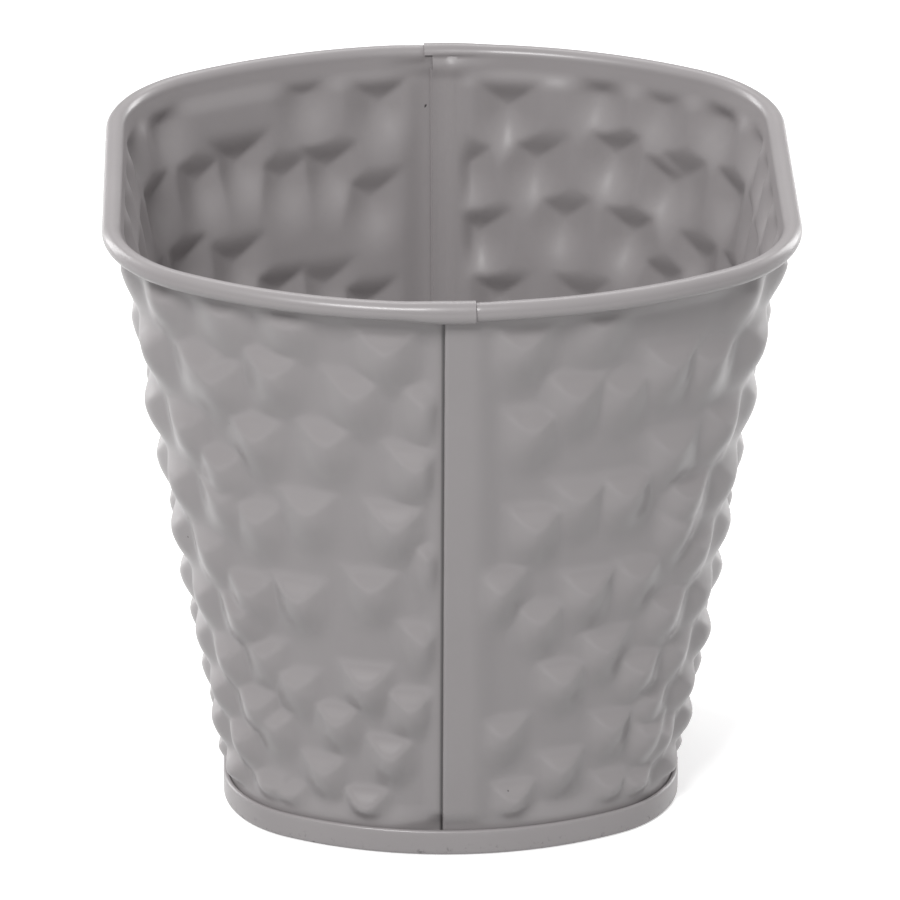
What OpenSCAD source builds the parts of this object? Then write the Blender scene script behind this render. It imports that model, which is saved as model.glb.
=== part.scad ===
// Florist bucket in painted sheet metal: a square bucket with soft corners that flares
// evenly from its base to its rim. Two identical body panels, each half of the wall, are
// locked together by folded seams at the front centre and the back centre. Each panel's
// top edge is curled outward into a tube, and its bottom edge is held in a folded ring,
// the double seam, by the bottom plate. The bucket stands on that ring, on the plane
// z = 0, with its origin at the middle of the base and its front towards -Y.

/* [Rim] */
// Width of the rim over its curl, left to right
rim_w = 140; // [120:1:170]
// Depth of the rim over its curl, front to back
rim_d = 138.5; // [120:0.5:170]
// Radius of the rim's corners, at the outside of the curl
rim_corner_r = 34; // [24:1:44]
// Length of the rim's straight sides
rim_side = 52; // [40:1:56]
// Diameter of the curled edge
curl_d = 3.9; // [3:0.1:6]

/* [Base] */
// Width of the base ring, left to right
base_w = 94.4; // [84:0.2:104]
// Depth of the base ring, front to back
base_d = 92.6; // [84:0.2:104]
// Radius of the base ring's corners
base_corner_r = 24; // [18:1:28]
// Length of the base ring's straight sides
base_side = 33; // [24:1:36]
// Height of the base ring
ring_h = 5.5; // [5:0.1:8]
// Height of the bottom plate's upper face, inside the bucket
floor_z = 4.5; // [3:0.1:4.6]

/* [Body] */
// Height of the bucket
height = 133; // [100:1:180]
// Thickness of the sheet
sheet_t = 0.35; // [0.3:0.01:0.45]
// Gap between the folded layers of a seam
fold_gap = 0.05; // [0.04:0.01:0.1]
// Width of the side seams
seam_w = 4.8; // [4:0.1:7]
// How far one curl laps over the other, past the middle of the seam
lap_end = 3.6; // [3:0.1:4]

/* [Smoothness] */
// Steps along each half of the front and back
arc_steps = 7; // [4:1:10]
// Steps around each corner
corner_steps = 9; // [6:1:12]
// Steps around the curl
curl_steps = 16; // [10:1:20]
// Steps up the wall
wall_steps = 5; // [2:1:8]

/* [Hidden] */
paint = "#8e8a8b";
inner_paint = "#878384";
sealant_grey = "#4b4b4d";

// Distance from the middle of one folded layer to the middle of the next
pitch = sheet_t + fold_gap;
// Radius and height of the curl, at the middle of the sheet
curl_r = (curl_d - sheet_t) / 2;
curl_z = height - curl_d / 2;
// Angles about the curl's centre where it ends outside the wall, and where its lap starts
curl_end = -150;
lap_start = 172;
// Half the stretch at each seam where the plain wall gives way to the folded layers
seam_zone = 3.8;
// How far joined stretches of one panel run into each other
overlap = 0.4;
// Height where the folded side seam starts, just above the base ring
seam_foot_z = ring_h + 0.2;
// Height where the folded side seam ends, inside the curl
seam_top_z = curl_z - 0.3;
// Angle about the curl's centre where the lap ends, clear of the seam below it
lap_stop = -118;
// Height where the slimmer curl starts to step outward, and the sheet that it grows from
tuck_z = curl_z - curl_r - 0.3;
tuck_root = 2;
// How far the slimmer curl runs inside the lap, past the middle of the seam
tuck_end = 1.7;
// Stretch in which a panel steps down under the other one
step_in = 0.4;
// How far a turned-back layer stops short of the fold that it faces
end_play = 0.3;
// Height of the centre of the fold at the panel's bottom edge
hem_z = sheet_t + fold_gap + pitch + sheet_t / 2;
// Steps around a fold
fold_steps = 5;

// An outline is [half width, half depth, corner radius, half the straight side]. Its
// front and back are shallow arcs that run smoothly into the corners.
function grow(o, by) = [o[0] + by, o[1] + by, o[2] + by, o[3]];
function mix(from, to, part) = from + (to - from) * part;
function arc_r(o) =
    (pow(o[0] - o[2], 2) + pow(o[1] - o[3], 2) - pow(o[2], 2)) / (2 * (o[1] - o[3] - o[2]));
function arc_end(o) = atan2(o[0] - o[2], arc_r(o) - o[1] + o[3]);

// Middle of the sheet along the curl's centre, the wall's top and the wall's foot
curl_line = grow([rim_w / 2, rim_d / 2, rim_corner_r, rim_side / 2], -curl_d / 2);
wall_top = grow(curl_line, -curl_r);
foot_line = grow([base_w / 2, base_d / 2, base_corner_r, base_side / 2], -3 * pitch - sheet_t / 2);
function wall_line(z) = mix(foot_line, wall_top, max(0, (z - ring_h) / (curl_z - ring_h)));

// A place along the left half of an outline is [stretch, part]. The stretches are
// FRONT, CORNER, BACK_CORNER and BACK, and the part runs from 0 to 1 along them. On
// ACROSS the part is instead the distance to the right of the front seam's middle, and
// on ACROSS_BACK the distance to the left of the back seam's middle.
FRONT = 0;
CORNER = 1;
BACK_CORNER = 2;
BACK = 3;
ACROSS = 4;
ACROSS_BACK = 5;
function arc_centre(o, stretch) =
    let (side = o[0] - o[2], far = arc_r(o) - o[1])
    stretch == CORNER ? [-side, -o[3], o[2]]
    : stretch == BACK_CORNER ? [-side, o[3], o[2]]
    : stretch == BACK || stretch == ACROSS_BACK ? [0, -far, arc_r(o)]
    : [0, far, arc_r(o)];
function arc_angle(o, place) =
    let (start = asin(seam_zone / arc_r(o)), end = arc_end(o), part = place[1])
    place[0] == FRONT ? mix(start, end, part)
    : place[0] == CORNER ? mix(end, 90, part)
    : place[0] == BACK_CORNER ? mix(90, 180 - end, part)
    : place[0] == BACK ? mix(180 - end, 180 - start, part)
    : place[0] == ACROSS ? -asin(part / arc_r(o))
    : 180 - asin(part / arc_r(o));

// The point at a place along an outline, moved outward, at height z
function point_at(o, place, out, z) =
    let (c = arc_centre(o, place[0]), angle = arc_angle(o, place), r = c[2] + out)
    [c[0] - r * sin(angle), c[1] - r * cos(angle), z];

function steps(n) = [for (i = [0:n]) i / n];
half_way_round = [
    for (part = steps(arc_steps)) [FRONT, part],
    for (part = steps(corner_steps)) if (part > 0) [CORNER, part],
    for (part = steps(corner_steps)) [BACK_CORNER, part],
    for (part = steps(arc_steps)) if (part > 0) [BACK, part]
];

// Unit normals of a path in a plane, to the left of its direction
function normals(path) = [
    for (i = [0:len(path) - 1])
        let (d = path[min(i + 1, len(path) - 1)] - path[max(i - 1, 0)])
        [-d[1], d[0]] / norm(d)
];

// A solid sheet between two grids of points that face each other
module sheet(one_side, other_side) {
    rows = len(one_side);
    cols = len(one_side[0]);
    size = rows * cols;
    function quad(a, b, c, d) = [[a, b, c], [a, c, d]];
    faces = [
        for (i = [0:rows - 2], j = [0:cols - 2])
            let (k = i * cols + j)
            each concat(
                quad(k, k + 1, k + cols + 1, k + cols),
                quad(size + k, size + k + cols, size + k + cols + 1, size + k + 1)
            ),
        for (i = [0:rows - 2])
            let (k = i * cols, m = k + cols - 1)
            each concat(
                quad(k, k + cols, size + k + cols, size + k),
                quad(m, size + m, size + m + cols, m + cols)
            ),
        for (j = [0:cols - 2])
            let (m = (rows - 1) * cols + j)
            each concat(
                quad(j, size + j, size + j + 1, j + 1),
                quad(m, m + 1, size + m + 1, size + m)
            )
    ];
    polyhedron(points = concat([for (row = one_side) each row], [for (row = other_side) each row]),
        faces = faces);
}

// A section of sheet swept along places on its outlines. Each point of the section is
// [outline, distance outward from it, height].
module sweep(section, places) {
    n = normals([for (p = section) [p[0][0] + p[1], p[2]]]);
    function side(s) = [
        for (place = places) [
            for (j = [0:len(section) - 1])
                let (p = section[j], d = n[j] * s * sheet_t / 2)
                point_at(p[0], place, p[1] + d[0], p[2] + d[1])
        ]
    ];
    sheet(side(1), side(-1));
}

// The folded edge of a panel along a seam, drawn as a path of [distance across the
// seam, depth below the outer layer] that rises from the ring to the curl
module seam_edge(path, stretch) {
    n = normals(path);
    function side(s) = [
        for (part = steps(wall_steps))
            let (z = mix(seam_foot_z, seam_top_z, part))
            [
                for (j = [0:len(path) - 1])
                    let (p = path[j] + n[j] * s * sheet_t / 2)
                    point_at(wall_line(z), [stretch, p[0]], -p[1], z)
            ]
    ];
    sheet(side(1), side(-1));
}

// Half a turn about a centre, as points of a path
function fold(centre, from, to) = [
    for (part = steps(fold_steps))
        let (angle = mix(from, to, part))
        centre + pitch * [cos(angle), sin(angle)]
];

// Sections of a panel, from its bottom edge up
hem = [
    [foot_line, 2 * pitch, ring_h - 3 * pitch],
    for (p = fold([pitch, hem_z], 0, -180)) [foot_line, p[0], p[1]],
    [foot_line, 0, ring_h]
];
wall = [
    for (part = steps(wall_steps))
        let (z = mix(ring_h, curl_z, part))
        if (part > 0) [wall_line(z), 0, z]
];
function curl(r, from, to) = [
    for (part = steps(curl_steps))
        let (angle = mix(from, to, part))
        [curl_line, r * cos(angle), curl_z + r * sin(angle)]
];
whole_section = concat(hem, wall, [for (p = curl(curl_r, 180, curl_end)) if (p[1] > -curl_r) p]);
tucked_section = concat(
    [for (z = [tuck_z - tuck_root, tuck_z]) [wall_line(z), 0, z]],
    curl(curl_r - pitch, 180, curl_end)
);

// Edge that tucks under at the front seam: it drops below the other panel, runs under
// it and turns back on itself
fold_in = seam_w / 2 - pitch - sheet_t / 2;
under_edge = concat(
    [[-seam_zone - overlap, 0], [-seam_zone, 0], [-seam_w / 2 - step_in, 3 * pitch]],
    fold([fold_in, 2 * pitch], 90, -90),
    [[-fold_in + end_play, pitch]]
);
// Edge that closes over at the back seam: it stays outside, and turns back on itself
over_edge = concat(
    [[seam_zone + overlap, 0]],
    fold([-fold_in, pitch], -90, -270),
    [[fold_in - end_play, 2 * pitch]]
);

// One half of the wall, on the left, with its curl, seam edges and hem
module body_panel() {
    sweep(whole_section, half_way_round);
    seam_edge(under_edge, ACROSS);
    seam_edge(over_edge, ACROSS_BACK);
    // Curl that laps over the other panel's curl at the front
    sweep(
        curl(curl_r, lap_start, lap_stop),
        [for (x = [lap_end, seam_zone / 2, 0, -seam_zone / 2, -seam_zone - overlap]) [ACROSS, x]]
    );
    // Slimmer curl that the other panel's laps over at the back
    sweep(
        tucked_section,
        [for (x = [seam_zone + overlap, seam_zone / 2, 0, -tuck_end]) [ACROSS_BACK, x]]
    );
    // Hem below the ends of the side seams, where the sheet isn't folded
    sweep(hem, [for (x = [-fold_gap / 2, -seam_zone / 2, -seam_zone - overlap]) [ACROSS, x]]);
    sweep(hem, [for (x = [seam_zone + overlap, seam_zone / 2, fold_gap / 2]) [ACROSS_BACK, x]]);
}

module left_body_panel() {
    color(paint) body_panel();
}

module right_body_panel() {
    color(paint) rotate(180) body_panel();
}

// The base outline, grown outward, as a flat shape
module base_shape(out) {
    half = [
        for (x = [0, -seam_zone / 2]) point_at(foot_line, [ACROSS, x], out, 0),
        for (place = half_way_round) point_at(foot_line, place, out, 0),
        point_at(foot_line, [ACROSS_BACK, seam_zone / 2], out, 0)
    ];
    corners = [for (p = half) [p[0], p[1]]];
    polygon(concat(corners, -corners));
}

// A band round the base between two distances from the wall, and two heights
module band(inner, outer, low, high) {
    translate([0, 0, low]) linear_extrude(high - low) difference() {
        base_shape(outer);
        base_shape(inner);
    }
}

// Plate with its edge turned down, out, up and back into the double seam
module bottom_plate() {
    t = sheet_t / 2;
    color(inner_paint) {
        translate([0, 0, floor_z - sheet_t]) linear_extrude(sheet_t) base_shape(-pitch);
        band(-pitch - t, -pitch + t, 0, floor_z);
        band(-pitch - t, 3 * pitch + t, 0, sheet_t);
        band(3 * pitch - t, 3 * pitch + t, 0, ring_h);
        band(pitch - t, 3 * pitch + t, ring_h - sheet_t, ring_h);
        band(pitch - t, pitch + t, hem_z + pitch, ring_h);
    }
}

// Bead of sealing compound in the bottom of the hem, under the plate's turned edge
module bottom_seam_sealant() {
    bead = pitch - sheet_t / 2 - fold_gap;
    color(sealant_grey) band(pitch - bead, pitch + bead, hem_z, hem_z + pitch - fold_gap);
}

left_body_panel();
right_body_panel();
bottom_plate();
bottom_seam_sealant();
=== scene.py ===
"""Florist bucket in painted sheet metal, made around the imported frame.

Two dimpled body panels meet in folded seams at the front and the back. Their tops are
curled into the rim, and their feet are held in a folded ring by the bottom plate.
Lengths are in millimetres unless a name or a comment says otherwise.
"""

import math

import bmesh
import bpy
import numpy as np
from mathutils import Matrix, Vector


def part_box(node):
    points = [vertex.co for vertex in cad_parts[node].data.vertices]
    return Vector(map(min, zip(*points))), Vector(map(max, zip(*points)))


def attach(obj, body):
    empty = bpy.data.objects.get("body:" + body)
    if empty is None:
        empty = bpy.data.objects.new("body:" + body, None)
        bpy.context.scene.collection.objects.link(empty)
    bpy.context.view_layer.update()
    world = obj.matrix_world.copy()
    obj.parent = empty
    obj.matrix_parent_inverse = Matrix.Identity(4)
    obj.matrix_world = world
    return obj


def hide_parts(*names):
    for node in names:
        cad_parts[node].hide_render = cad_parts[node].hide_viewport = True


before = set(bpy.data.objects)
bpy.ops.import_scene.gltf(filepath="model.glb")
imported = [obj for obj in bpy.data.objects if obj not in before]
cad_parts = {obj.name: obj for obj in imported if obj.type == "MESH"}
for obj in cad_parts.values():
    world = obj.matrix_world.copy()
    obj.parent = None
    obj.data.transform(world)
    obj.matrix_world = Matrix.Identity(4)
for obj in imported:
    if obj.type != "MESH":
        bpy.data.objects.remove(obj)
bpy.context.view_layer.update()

MM = 0.001


# ---------------------------------------------------------------- sizes

panel_low, panel_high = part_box("left_body_panel")
plate_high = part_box("bottom_plate")[1]

SHEET = 0.35                      # thickness of the sheet
PITCH = 0.40                      # from one folded layer to the next
CURL_D = 3.9                      # diameter of the curled edge
CURL_R = (CURL_D - SHEET) / 2     # its radius, at the middle of the sheet
RIM_HALF_W = -panel_low.x / MM
RIM_HALF_D = panel_high.y / MM
HEIGHT = panel_high.z / MM
CURL_Z = HEIGHT - CURL_D / 2
BASE_HALF_W = plate_high.x / MM
BASE_HALF_D = plate_high.y / MM
RING_H = plate_high.z / MM
FLOOR_Z = 4.5                     # upper face of the bottom plate
SEAM_W = 4.8                      # width of the side seams
LAP_END = 3.6                     # how far one curl laps past the middle of the seam
SEAM_TOP = CURL_Z - CURL_R - 0.3  # where the folded layers stop, behind the curl
TUCK = 0.45                       # how much slimmer the curl is inside the lap
LAP_SWELL = 0.22                  # how much fatter the lap is
SWELL_END = 12                    # how far from the seam the curl is back to its own size
HANG = 0.36                       # how much lower the curl hangs at the lap
BACK_HANG = 0.26                  # how much lower it hangs inside the lap
JOINT_STEP = 0.16                 # how much slimmer the curl is just past the lap
SEAM_ZONE = 3.2                   # half the stretch at each seam that has no scales
GRAIN = 0.68                      # spacing of the mesh along the sheet
FRONT, BACK = 0, 1                # the two quarters of a panel


def grown(line, by):
    """An outline moved outward. It is half width, half depth, then the corner radius and
    half the straight side, first of the front quarter and then of the back one."""
    return line + by * np.array([1, 1, 1, 0, 1, 0])


RIM_CORNERS = [32.9, 25.2, 32.0, 26.6]     # of the rim, outside the curl
BASE_CORNERS = [24, 16.5, 24, 16.5]        # of the base ring
CURL_LINE = grown(np.array([RIM_HALF_W, RIM_HALF_D] + RIM_CORNERS), -CURL_D / 2)
WALL_TOP = grown(CURL_LINE, -CURL_R)
FOOT = grown(np.array([BASE_HALF_W, BASE_HALF_D] + BASE_CORNERS), -3 * PITCH - SHEET / 2)
LEAN = math.atan2(WALL_TOP[0] - FOOT[0], CURL_Z - RING_H)     # of the wall, from upright


def wall_line(z):
    """Outline of the plain wall at a height: upright in the base ring, then flared."""
    part = max(0.0, (z - RING_H) / (CURL_Z - RING_H))
    return FOOT + (WALL_TOP - FOOT) * part


def arc_radius(line, quarter):
    """Radius of the shallow front or back arc that runs smoothly into its corner."""
    corner, side = line[2 + 2 * quarter], line[3 + 2 * quarter]
    wide, deep = line[0] - corner, line[1] - side
    return (wide**2 + deep**2 - corner**2) / (2 * (deep - corner))


def arc_turn(line, quarter):
    """Angle through which the front or back arc turns before its corner starts."""
    corner, side = line[2 + 2 * quarter], line[3 + 2 * quarter]
    return math.atan2(line[0] - corner, arc_radius(line, quarter) - line[1] + side)


def quarter_length(line, quarter):
    """From the middle of the seam to the middle of the side, along the outline."""
    turn = arc_turn(line, quarter)
    corner, side = line[2 + 2 * quarter], line[3 + 2 * quarter]
    return arc_radius(line, quarter) * turn + corner * (math.pi / 2 - turn) + side


def place_on(line, quarter, stretch, part):
    """Point, outward direction and distance from the seam's middle, on the left half.

    The stretches of a quarter are "seam", where part is the distance past the middle
    of the seam, and "arc", "corner" and "side", where it runs from 0 to 1.
    """
    corner, side = line[2 + 2 * quarter], line[3 + 2 * quarter]
    radius, turn = arc_radius(line, quarter), arc_turn(line, quarter)
    start = SEAM_ZONE / radius
    if stretch == "seam":
        angle = -part / radius
    elif stretch == "arc":
        angle = start + (turn - start) * part
    else:
        angle = turn + (math.pi / 2 - turn) * part
    if stretch == "side":
        x, y, out = -line[0], -side * (1 - part), (-1.0, 0.0)
        along = radius * turn + corner * (math.pi / 2 - turn) + side * part
    elif stretch == "corner":
        out = (-math.sin(angle), -math.cos(angle))
        x = -(line[0] - corner) + corner * out[0]
        y = -side + corner * out[1]
        along = radius * turn + corner * (angle - turn)
    else:
        out = (-math.sin(angle), -math.cos(angle))
        x, y = radius * out[0], radius - line[1] + radius * out[1]
        along = radius * angle
    if quarter == BACK:
        y, out = -y, (out[0], -out[1])
    return x, y, out[0], out[1], along


# ---------------------------------------------------------------- meshes


def mesh_piece(name, points, faces, fields=None):
    """A Blender object from points in millimetres, with smooth faces."""
    mesh = bpy.data.meshes.new(name)
    mesh.from_pydata((np.asarray(points) * MM).tolist(), [], faces)
    for field, values in (fields or {}).items():
        mesh.attributes.new(field, "FLOAT", "POINT").data.foreach_set("value", values)
    mesh.update()
    piece = bpy.data.objects.new(name, mesh)
    bpy.context.scene.collection.objects.link(piece)
    return piece


def set_out(places, out, up):
    """Points at some height that stand out from places on an outline."""
    x = places[:, 0] + places[:, 2] * out
    y = places[:, 1] + places[:, 3] * out
    return np.stack([x, y, np.broadcast_to(up, len(places))], 1)


def weld(piece, reach=0.01):
    """Joins points that lie on each other, and turns all faces the same way."""
    shape = bmesh.new()
    shape.from_mesh(piece.data)
    bmesh.ops.remove_doubles(shape, verts=shape.verts, dist=reach * MM)
    bmesh.ops.recalc_face_normals(shape, faces=shape.faces)
    shape.to_mesh(piece.data)
    shape.free()


def thicken(piece, thickness=SHEET):
    """Gives a drawn surface the thickness of the sheet, half to each side."""
    solid = piece.modifiers.new("sheet", "SOLIDIFY")
    solid.thickness = thickness * MM
    solid.offset = 0
    solid.use_even_offset = False
    settle(piece)


def settle(piece, crease_deg=55):
    """Applies a piece's modifiers, smooths its faces and keeps its cut edges sharp."""
    graph = bpy.context.evaluated_depsgraph_get()
    made = bpy.data.meshes.new_from_object(piece.evaluated_get(graph))
    piece.modifiers.clear()
    piece.data = made
    made.polygons.foreach_set("use_smooth", [True] * len(made.polygons))
    made.set_sharp_from_angle(angle=math.radians(crease_deg))
    made.update()


def smooth(low, high, value):
    """0 below low, 1 above high, and an even S-curve in between."""
    t = np.clip((value - low) / (high - low), 0, 1)
    return t * t * (3 - 2 * t)


def even_steps(low, high, spacing):
    """Numbers from low to high, no further apart than the spacing."""
    return np.linspace(low, high, max(2, int(math.ceil(abs(high - low) / spacing)) + 1))


# ---------------------------------------------------------------- scales

# The wall is pressed into pointed scales. No two are quite alike, so the ones beside the
# seams are placed one by one, as [distance from the seam, height] of each scale's tip,
# on the front half and on the back half of a panel.
FRONT_TIPS = [
    [34, 125], [14, 120], [48, 124], [37, 112], [20, 109], [5, 107], [50, 108], [26, 97], [41, 96],
    [8, 93], [30, 80], [12, 79], [41, 76], [49, 87], [3, 70], [17, 63], [32, 59], [43, 58], [6, 51],
    [18, 40], [33, 37], [9, 35], [24, 30], [40, 43], [13, 23], [27, 17], [38, 26], [18, 10], [35, 9],
]
BACK_TIPS = [
    [13, 121], [24, 108], [34, 107], [44, 112], [15, 101], [45, 91], [35, 83], [25, 83], [16, 78],
    [47, 72], [38, 62], [27, 61], [17, 55], [31, 46], [22, 40], [10, 28], [39, 39], [22, 18],
    [33, 26], [42, 22], [29, 124], [9, 64], [12, 12], [33, 11],
]
SIDE_TIPS = [125, 110, 94, 79, 65, 52, 40, 30, 20, 10]   # heights of the rows on the side
SIDE_STEP = 0.14            # from one tip to the next in such a row, as a share of half the girth
SIDE_SPAN = 0.50            # how far the side's rows reach, either way from its middle
SCALE_DEPTH = 3.0           # how far a tip stands above the hollows
SCALE_RISE = 0.076          # how far a scale reaches above its tip, as a share of half the girth
SCALE_SIDE = 0.085          # how far it reaches to each side, as the same share
SCALE_DROP = 0.135          # how far it reaches below its tip, as the same share
UNEVENNESS = 0.14           # how much the scales differ in height, as a share of it
RUN_OUT = 0.9               # share of a scale over which it runs out into the wall
TIP_ROUND = 0.10            # how blunt a tip is, as a share of the scale
RIDGE_SHARPNESS = 14        # larger makes a crisper edge between a scale's two faces
VALLEY_SHARPNESS = 5        # larger makes a crisper valley between two scales
LEVEL = 0.30                # share of the depth that lies below the plain wall


def half_girth(z):
    return quarter_length(wall_line(z), FRONT)


def scale_tips():
    """Every tip on a panel: [share of the half girth from the panel's middle towards the
    back, height]."""
    tips = [(t / half_girth(z) - 1, z) for t, z in FRONT_TIPS]
    tips += [(1 - t / half_girth(z), z) for t, z in BACK_TIPS]
    for row, z in enumerate(SIDE_TIPS):
        for place in range(-4, 5):
            share = (place + 0.5 * (row % 2)) * SIDE_STEP
            if abs(share) < SIDE_SPAN:
                tips.append((share, z))
    return tips


def scales(share, z, tips):
    """How far the pressed sheet stands out at places along one height of the wall. Each
    scale has a flat face above its tip and a round one below it, and they run out softly."""
    girth = half_girth(z)
    highest = 0
    for k, (middle, tip_z) in enumerate(tips):
        across, up = (share - middle) * girth, z - tip_z
        above = max(up, 0) / (SCALE_RISE * girth)
        below = min(up, 0) / (SCALE_DROP * girth)
        around = np.hypot(np.hypot(across / (SCALE_SIDE * girth), below), TIP_ROUND)
        away = (above**RIDGE_SHARPNESS + around**RIDGE_SHARPNESS) ** (1 / RIDGE_SHARPNESS)
        near = np.clip(1 + TIP_ROUND - away, 0, 1)
        strength = 1 - UNEVENNESS * (1 - math.sin(2.4 * k))
        height = strength * near * smooth(0, RUN_OUT, near)
        highest = highest + height**VALLEY_SHARPNESS
    return SCALE_DEPTH * (highest ** (1 / VALLEY_SHARPNESS) - LEVEL)


# ---------------------------------------------------------------- body panels


def fold(middle, depth, start, end, steps=8):
    """A sheet's half turn back on itself: [distance across the seam, depth] points."""
    return [
        (middle + PITCH * math.cos(a), depth + PITCH * math.sin(a))
        for a in np.linspace(math.radians(start), math.radians(end), steps + 1)
    ]


FOLD_IN = SEAM_W / 2 - PITCH - SHEET / 2   # middle of each fold, from the seam's middle
LAYER_END = FOLD_IN - 0.3                  # where a layer that turns back ends
FLAT_HALF = SEAM_W / 2 + 0.22              # half the stretch where the seam is pressed flat
EASE_END = 14                              # where a panel is back in line with the wall
GROOVE = 0.3                               # depth of the groove beside the folded edge
GROOVE_START = 0.6, FLAT_HALF - 0.2        # where the groove starts and is full
GROOVE_END = 6.5                           # where the groove ends
CREVICE_START = 1.6, 2.2                   # where the painted shadow line along the folded edge starts
CREVICE_END = FLAT_HALF, FLAT_HALF + 0.7   # where that line fades and ends
LAYERS_LEVEL = SEAM_TOP + 0.2, CURL_Z      # heights over which the layers meet at the curl
STACK = 3 * PITCH                          # from the seam's outer layer to its inner one
STACK_LEFT = 0.6                           # share of it that still stands out at the curl
STACK_FOOT = 0.4, 5                        # heights above the ring where it starts and is full
STACK_FALL = 3                             # how far below its top it starts to go back
SCALE_FOOT = 1.0, 5.5                      # heights above the ring where scales start and are full
SCALE_TOP = 6.5, 2.4                       # depths below the curl where they fade and end
SCALE_EASE = 3.5, 6.0                      # width over which they start, front and back
HEM_ROWS = [1.0, 2.2, 3.4, 4.6]            # heights of the rows inside the base ring
HEM_TOP = 4.5                              # no folded layers go further down than this
HIDDEN_GRAIN = 1                           # spacing of the mesh on layers that turn back
UNDER_GRAIN = 0.5                          # spacing on the layer that tucks under
SEAM_GRAIN = 0.4                           # spacing on the layer that closes over
STEP_GRAIN = 0.15                          # spacing on the step beside the folded edge


def stack_out(z):
    """How far the seam's layers stand out at a height. The inner one is in line with
    the wall, except next to the base ring and the curl."""
    back_in = (1 - STACK_LEFT) * smooth(SEAM_TOP - STACK_FALL, SEAM_TOP, z)
    return STACK * smooth(RING_H + STACK_FOOT[0], RING_H + STACK_FOOT[1], z) * (1 - back_in)


def wall_stretches(quarter):
    """Columns of the wall from a seam to the middle of the side."""
    radius, turn = arc_radius(WALL_TOP, quarter), arc_turn(WALL_TOP, quarter)
    corner, side = WALL_TOP[2 + 2 * quarter], WALL_TOP[3 + 2 * quarter]
    lengths = {"arc": radius * turn, "corner": corner * (math.pi / 2 - turn), "side": side}
    return [
        (quarter, stretch, part, 0.0, "main")
        for stretch, length in lengths.items()
        for part in even_steps(0, 1, GRAIN / length)[1:]
    ]


def panel_columns():
    """Columns of a panel, from its front edge to its back edge. Each is (quarter,
    stretch, part, depth below the wall, kind)."""
    hem = even_steps(-LAYER_END, FOLD_IN, HIDDEN_GRAIN)[:-1]
    under = even_steps(FOLD_IN, -FLAT_HALF, UNDER_GRAIN)
    step = even_steps(-FLAT_HALF, -SEAM_ZONE, STEP_GRAIN)[1:]
    columns = [(FRONT, "seam", x, PITCH, "fold") for x in hem]
    columns += [(FRONT, "seam", x, d, "fold") for x, d in fold(FOLD_IN, 2 * PITCH, -90, 90)[:-1]]
    columns += [(FRONT, "seam", x, STACK, "main") for x in under]
    columns += [(FRONT, "seam", x, 0.0, "main") for x in step]
    columns += wall_stretches(FRONT)
    columns += wall_stretches(BACK)[::-1][1:] + [(BACK, "arc", 0.0, 0.0, "main")]
    over = even_steps(-SEAM_ZONE, FOLD_IN, SEAM_GRAIN)[1:]
    turned_in = even_steps(FOLD_IN, -LAYER_END, HIDDEN_GRAIN)[1:]
    columns += [(BACK, "seam", x, 0.0, "main") for x in over]
    columns += [(BACK, "seam", x, d, "fold") for x, d in fold(FOLD_IN, PITCH, -90, 90)[1:]]
    columns += [(BACK, "seam", x, 2 * PITCH, "fold") for x in turned_in]
    return columns


CURL_STEPS = 26
CURL_FROM, CURL_TO = 180, -136     # degrees: up from the wall, over, and back towards it
LAP_EASE = 0.2, 0.4                # how far before and past its end the lap squeezes the curl


def panel_rows():
    """Rows of a panel from its foot up. Each is (height, None) on the wall, or
    (None, angle) around the curl."""
    wall = even_steps(RING_H, CURL_Z, GRAIN)[1:]
    curl = np.radians(np.linspace(CURL_FROM, CURL_TO, CURL_STEPS))[1:]
    return [(z, None) for z in [*HEM_ROWS, RING_H, *wall]] + [(None, a) for a in curl]


def curl_shape(quarter, from_seam):
    """Radius of the curl and how far its middle hangs low, at a column. It is swollen
    at the front, where it laps over, and slim at the back, where it is lapped."""
    if quarter == FRONT:
        swell = 1 - smooth(SEAM_W / 2, SWELL_END, from_seam)
        return CURL_R + LAP_SWELL * swell, HANG * swell
    slim = 1 - smooth(LAP_END - LAP_EASE[0], LAP_END + LAP_EASE[1], from_seam)
    ease = 1 - smooth(LAP_END, SWELL_END, from_seam)
    return CURL_R - (TUCK - JOINT_STEP) * slim - JOINT_STEP * ease, BACK_HANG * ease


def curl_row(angle, radius, hang):
    """How far out and how high the curl is, at an angle around it."""
    return radius * math.cos(angle), CURL_Z + radius * math.sin(angle) - hang * (1 - math.sin(angle)) / 2


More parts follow.
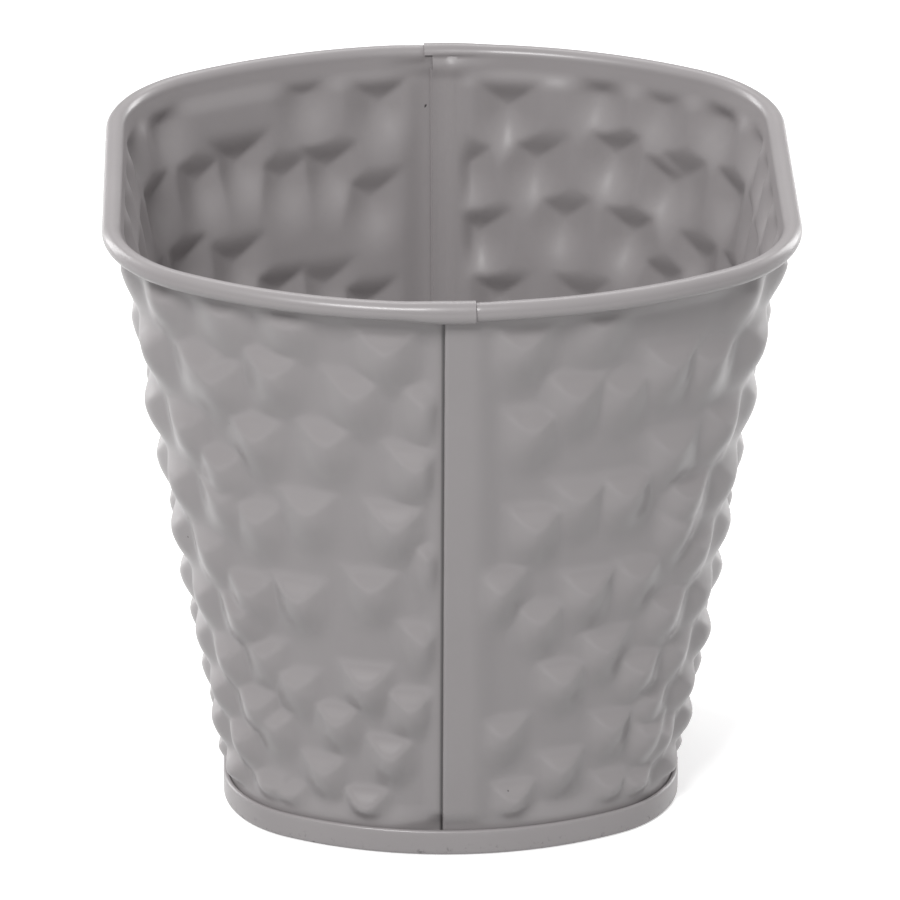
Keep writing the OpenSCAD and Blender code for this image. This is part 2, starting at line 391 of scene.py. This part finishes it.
def wall_row(z, columns, along, tips):
    """One row of the wall: how far out and how high its points are, how far the scales
    lift them, and how far into the painted shadow line beside the folded edge they are."""
    back = np.array([column[0] == BACK for column in columns])
    folded = np.array([column[4] == "fold" for column in columns])
    depth = np.array([column[3] for column in columns])
    radius = np.array([curl_shape(column[0], abs(a))[0] for column, a in zip(columns, along)])
    across = np.abs(along)
    stack = stack_out(z)
    groove = GROOVE * smooth(*GROOVE_START, across)
    groove *= 1 - smooth(FLAT_HALF, GROOVE_END, across)
    main = np.where(back, -stack, STACK - stack) * (1 - smooth(FLAT_HALF, EASE_END, across))
    depth = np.where(folded | (depth > 0), depth - stack, main) + np.where(back | folded, 0, groove)
    slim = np.where(back, CURL_R - radius, 0)
    out = slim * smooth(SEAM_TOP, CURL_Z, z) - depth * (1 - smooth(*LAYERS_LEVEL, z))
    whole = np.where(back, quarter_length(wall_line(z), BACK), half_girth(z))
    share = np.where(back, whole - along, along - whole) / whole
    clear = smooth(SEAM_ZONE, SEAM_ZONE + np.where(back, SCALE_EASE[1], SCALE_EASE[0]), along)
    clear *= smooth(RING_H + SCALE_FOOT[0], RING_H + SCALE_FOOT[1], z)
    clear *= 1 - smooth(CURL_Z - SCALE_TOP[0], CURL_Z - SCALE_TOP[1], z)
    lift = clear * scales(share, z, tips)
    # painted shadow line beside the folded edge; its mask is zero on the back quarter
    beside = smooth(*CREVICE_START, along) * (1 - smooth(*CREVICE_END, along))
    return out + math.cos(LEAN) * lift, z - math.sin(LEAN) * lift, lift, np.where(back, 0, beside)


def panel_faces(rows, columns):
    """Faces between a panel's rows and columns. The folded layers stop behind the curl
    and above the foot of the base ring."""
    faces, count = [], len(columns)
    for i in range(len(rows) - 1):
        low, high = rows[i][0], rows[i + 1][0]
        behind_curl = high is None or high > SEAM_TOP
        in_ring = low is not None and low < HEM_TOP
        for j in range(count - 1):
            in_fold = "fold" in (columns[j][4], columns[j + 1][4])
            under = columns[j][0] == FRONT and columns[j][3] > 0
            if (in_fold and (behind_curl or in_ring)) or (under and in_ring):
                continue
            k = i * count + j
            faces.append((k, k + 1, k + count + 1, k + count))
    return faces


def curl_lap(start):
    """The curl's lap over the other panel's curl, past the folded edge: points, and
    faces that count their corners from start."""
    across = even_steps(FOLD_IN, LAP_END, SEAM_GRAIN)
    places = np.array([place_on(CURL_LINE, FRONT, "seam", x) for x in across])
    turns = [angle for _, angle in panel_rows() if angle is not None]
    points = [set_out(places, *curl_row(angle, CURL_R + LAP_SWELL, HANG)) for angle in turns]
    wide = len(across)
    corners = [start + i * wide + j for i in range(len(turns) - 1) for j in range(wide - 1)]
    return np.concatenate(points), [(k, k + wide, k + wide + 1, k + 1) for k in corners]


def body_panel(name):
    """One half of the wall, on the left: a single sheet with its scales, seam folds and
    curled top."""
    columns, rows, tips = panel_columns(), panel_rows(), scale_tips()
    points, relief, crevice_shade = [], [], []
    for z, angle in rows:
        line = wall_line(z) if angle is None else CURL_LINE
        here = np.array([place_on(line, *column[:3]) for column in columns])
        along = here[:, 4]
        lift = dark = np.zeros(len(columns))
        if angle is None:
            out, up, lift, dark = wall_row(z, columns, along, tips)
        else:
            shapes = [curl_shape(column[0], abs(a)) for column, a in zip(columns, along)]
            out, up = curl_row(angle, *np.array(shapes).T)
        points.append(set_out(here, out, up))
        relief.append(lift)
        crevice_shade.append(dark)
    faces = panel_faces(rows, columns)
    lap_points, lap_faces = curl_lap(len(rows) * len(columns))
    plain = np.zeros(len(lap_points))
    points = np.concatenate(points + [lap_points])
    relief = np.concatenate(relief + [plain])
    crevice_shade = np.concatenate(crevice_shade + [plain])
    faces += lap_faces
    used = sorted({k for face in faces for k in face})
    new = {k: n for n, k in enumerate(used)}
    faces = [tuple(new[k] for k in face) for face in faces]
    piece = mesh_piece(name, points[used], faces, {"relief": relief[used], "crevice_shade": crevice_shade[used]})
    weld(piece)
    thicken(piece)
    return piece


def turned_half_way(piece, name):
    """A copy of a piece, turned half a turn about the vertical axis."""
    copy = piece.copy()
    copy.data = piece.data.copy()
    copy.name = copy.data.name = name
    copy.data.transform(Matrix.Rotation(math.pi, 4, "Z"))
    bpy.context.scene.collection.objects.link(copy)
    return copy


# ---------------------------------------------------------------- bottom plate and ring


def whole_outline(line):
    """Points and outward directions all round an outline, without repeating the first."""
    half = []
    for quarter in (FRONT, BACK):
        radius, turn = arc_radius(line, quarter), arc_turn(line, quarter)
        corner, side = line[2 + 2 * quarter], line[3 + 2 * quarter]
        lengths = {"arc": radius * turn, "corner": corner * (math.pi / 2 - turn), "side": side}
        walk = [place_on(line, quarter, "seam", x)[:4] for x in even_steps(0, -SEAM_ZONE, GRAIN)]
        for stretch, length in lengths.items():
            parts = even_steps(0, 1, GRAIN / length)[1:]
            walk += [place_on(line, quarter, stretch, part)[:4] for part in parts]
        half += walk[:-1] if quarter == FRONT else walk[::-1][:-1]
    other = [(-x, -y, -ox, -oy) for x, y, ox, oy in half]
    return np.array(half + other)


def bend(centre, radius, start, end, steps=7):
    """Points of a round bend in a section, as [distance outward, height]."""
    return [
        (centre[0] + radius * math.cos(a), centre[1] + radius * math.sin(a))
        for a in np.radians(np.linspace(start, end, steps + 1))
    ]


PLATE_Z = FLOOR_Z - SHEET / 2     # the bottom plate, at the middle of its sheet
PLATE_EDGE = 5.2                  # how far inside the ring's inner leg the flat plate ends
PLATE_DIP = 0.45                  # how far the plate's middle is pressed down
DIP_STEP = 0.88, 0.95             # shares of the plate's width over which it steps down
FLOOR_RINGS = 36                  # rings of points on the plate
SHOULDER_R, INNER_R, OUTER_R = 0.6, 0.5, 0.62       # of the section's bends
LEG_ROWS = [2.6, 1.4]             # heights of the rows on the ring's inner leg
OUTSIDE_ROWS = [1.6, 2.4, 3.2, 4.0]                 # the same on its outside
HOOK_ROWS = [4.0, 3.0, 2.2]                         # and on the edge hooked inside it


def ring_section():
    """The plate's edge: it turns down, out, up the outside of the ring and back down
    into it. Each point is [distance outward from the foot of the wall, height]."""
    low, high = SHEET / 2, RING_H - SHEET / 2
    inner, outer = -PITCH, STACK + 0.02
    section = [(inner - PLATE_EDGE, PLATE_Z), (inner - PLATE_EDGE + 0.6, PLATE_Z)]
    section += bend((inner - SHOULDER_R, PLATE_Z - SHOULDER_R), SHOULDER_R, 90, 0)
    section += [(inner, z) for z in LEG_ROWS]
    section += bend((inner + INNER_R, low + INNER_R), INNER_R, 180, 270)
    section += bend((STACK - OUTER_R, low + OUTER_R), OUTER_R, 270, 360)
    section += [(outer, z) for z in OUTSIDE_ROWS]
    section += bend((outer - PITCH, high - PITCH), PITCH, 0, 180, 12)
    section += [(PITCH, z) for z in HOOK_ROWS]
    return section


def bottom_plate():
    """The bottom plate with its folded ring, as one sheet."""
    ring = whole_outline(FOOT)
    edge = ring[:, :2] - ring[:, 2:] * (PITCH + PLATE_EDGE)
    rows = []
    for share in np.arange(1, FLOOR_RINGS) / FLOOR_RINGS:
        z = PLATE_Z - PLATE_DIP * (1 - smooth(*DIP_STEP, share))
        rows.append(np.column_stack([edge * share, np.full(len(ring), z)]))
    rows += [set_out(ring, out, z) for out, z in ring_section()]
    count, middle = len(ring), len(rows) * len(ring)
    faces = []
    for i in range(len(rows) - 1):
        for j in range(count):
            a, b = i * count + j, i * count + (j + 1) % count
            faces.append((a, b, b + count, a + count))
    faces += [(middle, (j + 1) % count, j) for j in range(count)]
    points = np.concatenate(rows + [[[0, 0, PLATE_Z - PLATE_DIP]]])
    piece = mesh_piece("bottom_plate_and_ring", points, faces)
    weld(piece)
    thicken(piece)
    return piece


# ---------------------------------------------------------------- paint


class Shade:
    """A value that varies over a surface. Arithmetic on it adds Math nodes."""

    def __init__(self, finish, socket):
        self.finish, self.socket = finish, socket

    def work_out(self, operation, first, second):
        return self.finish.add("Math", {"operation": operation}, {0: first, 1: second})

    def __add__(self, other):
        return self.work_out("ADD", self, other)

    __radd__ = __add__

    def __sub__(self, other):
        return self.work_out("SUBTRACT", self, other)

    def __rsub__(self, other):
        return self.work_out("SUBTRACT", other, self)

    def __mul__(self, other):
        return self.work_out("MULTIPLY", self, other)

    __rmul__ = __mul__

    def between(self, low, high):
        """0 at low, 1 at high and a smooth step between them."""
        settings = {"interpolation_type": "SMOOTHSTEP"}
        return self.finish.add("MapRange", settings, {"Value": self, "From Min": low, "From Max": high})


class Finish:
    """A finish being mixed: one material and its nodes."""

    def __init__(self, name):
        self.material = bpy.data.materials.new(name)
        self.material.use_nodes = True
        self.tree = self.material.node_tree
        self.tree.nodes.clear()

    def add(self, kind, settings=None, sockets=None, out=0):
        """Adds a node, sets it up, fills its sockets and returns one of its outputs."""
        node = self.tree.nodes.new("ShaderNode" + kind)
        for name, value in (settings or {}).items():
            setattr(node, name, value)
        for name, value in (sockets or {}).items():
            if isinstance(value, Shade):
                self.tree.links.new(value.socket, node.inputs[name])
            else:
                node.inputs[name].default_value = value
        return Shade(self, node.outputs[out]) if node.outputs else None

    def place(self):
        """The point on the object, in metres."""
        return self.add("TexCoord", out="Object")

    def noise(self, scale, detail, roughness):
        """Soft random spots, about scale of them to a metre."""
        sockets = {"Scale": scale, "Detail": detail, "Roughness": roughness, "Vector": self.place()}
        return self.add("TexNoise", {}, sockets)

    def blend(self, factor, first, second):
        """A mix of two colours."""
        settings = {"data_type": "RGBA"}
        return self.add("Mix", settings, {"Factor": factor, 6: first, 7: second}, out=2)

    def coat(self, sockets):
        """The finished material, from what its surface is like."""
        surface = self.add("BsdfPrincipled", {}, sockets)
        self.add("OutputMaterial", {}, {"Surface": surface})
        return self.material


PAINT = (0.320, 0.300, 0.304, 1)          # warm grey
PAINT_PALE = (0.350, 0.330, 0.334, 1)     # where the coat is thin or rubbed
PAINT_IN_HOLLOW_SHADE = (0.290, 0.272, 0.277, 1)     # painted shade in the hollows between the scales
SOOT_AND_PAINTED_SHADE = (0.035, 0.032, 0.032, 1)           # small specks of grit and bare spots, and the painted shadow line along the seam's folded edge
SEALANT_DARK = (0.05, 0.05, 0.053, 1)
SEALANT_PALE = (0.1, 0.1, 0.105, 1)
SCUFF_LINE = 0.0005, 0.0032               # heights in metres up to which the foot is scuffed


def seam_and_scales(finish, colour):
    """Painted shade in the hollows between the scales, and a painted shadow line along the
    folded edge. That line is on the outside only, where the surface faces away from the bucket's axis."""
    relief = finish.add("Attribute", {"attribute_name": "relief"}, out="Fac")
    crevice_shade = finish.add("Attribute", {"attribute_name": "crevice_shade"}, out="Fac")
    # painted shade: the paint is darker where the relief lies low, in the hollows between the scales
    colour = finish.blend(relief.between(0.2, -0.6) * 0.3, colour, PAINT_IN_HOLLOW_SHADE)
    normal = finish.add("TexCoord", out="Normal")
    from_axis = finish.add("VectorMath", {"operation": "MULTIPLY"}, {0: finish.place(), 1: (1, 1, 0)})
    facing = finish.add("VectorMath", {"operation": "DOT_PRODUCT"}, {0: normal, 1: from_axis}, out="Value")
    # painted shadow line along the folded edge, on the outside only
    return finish.blend(crevice_shade * facing.between(0.0, 0.01) * 0.85, colour, SOOT_AND_PAINTED_SHADE)


def paint_finish(name, dimpled):
    """Semi-gloss grey paint over steel: slight mottling, orange peel, specks and rubs.
    On dimpled sheet it also has painted shade in the hollows and along the seam.
    """
    finish = Finish(name)
    mottle = finish.noise(45, 2, 0.45).between(0.3, 0.7)
    colour = finish.blend(mottle * 0.35, PAINT, PAINT_PALE)
    if dimpled:
        colour = seam_and_scales(finish, colour)
    patches = finish.noise(55, 1, 0.5).between(0.52, 0.6)
    specks = finish.noise(420, 1, 0.4).between(0.815, 0.845) * patches
    colour = finish.blend(specks, colour, SOOT_AND_PAINTED_SHADE)
    height = finish.add("SeparateXYZ", {}, {0: finish.place()}, out="Z")
    scuffs = finish.noise(900, 3, 0.7).between(0.56, 0.72) * (1 - height.between(*SCUFF_LINE))
    colour = finish.blend(scuffs * 0.5, colour, SOOT_AND_PAINTED_SHADE)
    rough = 0.33 + mottle * 0.05 + specks * 0.3 + scuffs * 0.25
    peel = finish.noise(700, 2, 0.5)
    ripple = finish.noise(160, 2, 0.5)
    texture = peel * 0.12 + ripple * 0.4 - specks
    bump = finish.add("Bump", {}, {"Strength": 0.3, "Distance": 0.0004, "Height": texture})
    return finish.coat({"Base Color": colour, "Roughness": rough, "Normal": bump, "Metallic": 0.0,
                        "IOR": 1.5, "Coat Weight": 0.12, "Coat Roughness": 0.12})


def sealant_finish():
    """Dull dark compound with a lumpy surface."""
    finish = Finish("sealing_compound")
    lumps = finish.noise(500, 3, 0.6)
    colour = finish.blend(lumps, SEALANT_DARK, SEALANT_PALE)
    bump = finish.add("Bump", {}, {"Strength": 0.4, "Distance": 0.0003, "Height": lumps})
    return finish.coat({"Base Color": colour, "Roughness": 0.6 + lumps * 0.2, "Normal": bump})


def dress(piece, finish):
    piece.data.materials.clear()
    piece.data.materials.append(finish)


# ---------------------------------------------------------------- making

left = body_panel("left_panel")
right = turned_half_way(left, "right_panel")
plate = bottom_plate()

body_finish = paint_finish("grey_paint_on_dimpled_sheet", dimpled=True)
base_finish = paint_finish("grey_paint_on_plain_sheet", dimpled=False)
dress(left, body_finish)
dress(right, body_finish)
dress(plate, base_finish)
dress(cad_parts["bottom_seam_sealant"], sealant_finish())

for piece, node, slot in (
    (left, "left_body_panel", "body_paint"),
    (right, "right_body_panel", "body_paint"),
    (plate, "bottom_plate", "base_paint"),
):
    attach(piece, "root")
    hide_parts(node)


# ---------------------------------------------------------------- studio


FLOOR_HALF = 6000                 # half the floor's width
FLOOR_TONES = (0.93, 0.93, 0.93, 1), (0.95, 0.95, 0.95, 1)
FLOOR_GLOW = 0.3                  # keeps the floor as pale as the surroundings


def floor():
    """A plain pale floor, wide enough to fill the view. It doesn't light the bucket."""
    low, high = -FLOOR_HALF, FLOOR_HALF
    corners = [(low, low, 0), (high, low, 0), (high, high, 0), (low, high, 0)]
    piece = mesh_piece("studio_floor", corners, [(0, 1, 2, 3)])
    finish = Finish("white_floor")
    colour = finish.blend(finish.noise(0.8, 1, 0.5), *FLOOR_TONES)
    glow = {"Emission Color": (1, 1, 1, 1), "Emission Strength": FLOOR_GLOW}
    dress(piece, finish.coat({"Base Color": colour, "Roughness": 0.9, **glow}))
    piece.visible_diffuse = False


def soft_light(name, place, size, power):
    """A soft rectangular light on the bucket, in metres and watts."""
    light = bpy.data.lights.new(name, "AREA")
    light.shape = "RECTANGLE"
    light.size, light.size_y = size
    light.energy = power
    lamp = bpy.data.objects.new(name, light)
    lamp.location = place
    lamp.rotation_euler = (AIM - Vector(place)).to_track_quat("-Z", "Y").to_euler()
    bpy.context.scene.collection.objects.link(lamp)


def sky():
    """Dim even surroundings."""
    world = bpy.data.worlds.new("studio")
    bpy.context.scene.world = world
    world.use_nodes = True
    background = world.node_tree.nodes["Background"]
    background.inputs["Color"].default_value = (1, 1, 1, 1)
    background.inputs["Strength"].default_value = 0.46


AIM = Vector((0, 0, 0.070))       # in metres, the middle of the bucket
VIEW_AIM = Vector((0.00024, 0, 0.070))
VIEW_DISTANCE = 1.5731            # in metres
VIEW_UP = math.radians(25)        # above the horizontal
VIEW_LEFT = math.radians(1.434)   # left of straight ahead
LENS = 305.1


def camera():
    """A long lens, a little above the bucket."""
    level = math.cos(VIEW_UP)
    back = Vector((-math.sin(VIEW_LEFT) * level, -math.cos(VIEW_LEFT) * level, math.sin(VIEW_UP)))
    lens = bpy.data.cameras.new("camera")
    lens.sensor_width = 36
    lens.lens = LENS
    lens.clip_end = 100
    eye = bpy.data.objects.new("camera", lens)
    eye.location = VIEW_AIM + VIEW_DISTANCE * back
    eye.rotation_euler = (-back).to_track_quat("-Z", "Y").to_euler()
    bpy.context.scene.collection.objects.link(eye)
    bpy.context.scene.camera = eye


floor()
sky()
camera()
soft_light("key_light", (-0.45, -1.1, 1.35), (0.5, 0.5), 19.5)
soft_light("back_light", (0.1, 0.9, 1.2), (1.0, 0.6), 5)
soft_light("left_light", (-1.15, 0.95, 0.5), (0.5, 1.1), 12)
soft_light("right_light", (1.15, 0.95, 0.5), (0.5, 1.1), 13)
bpy.context.scene.view_settings.view_transform = "Standard"
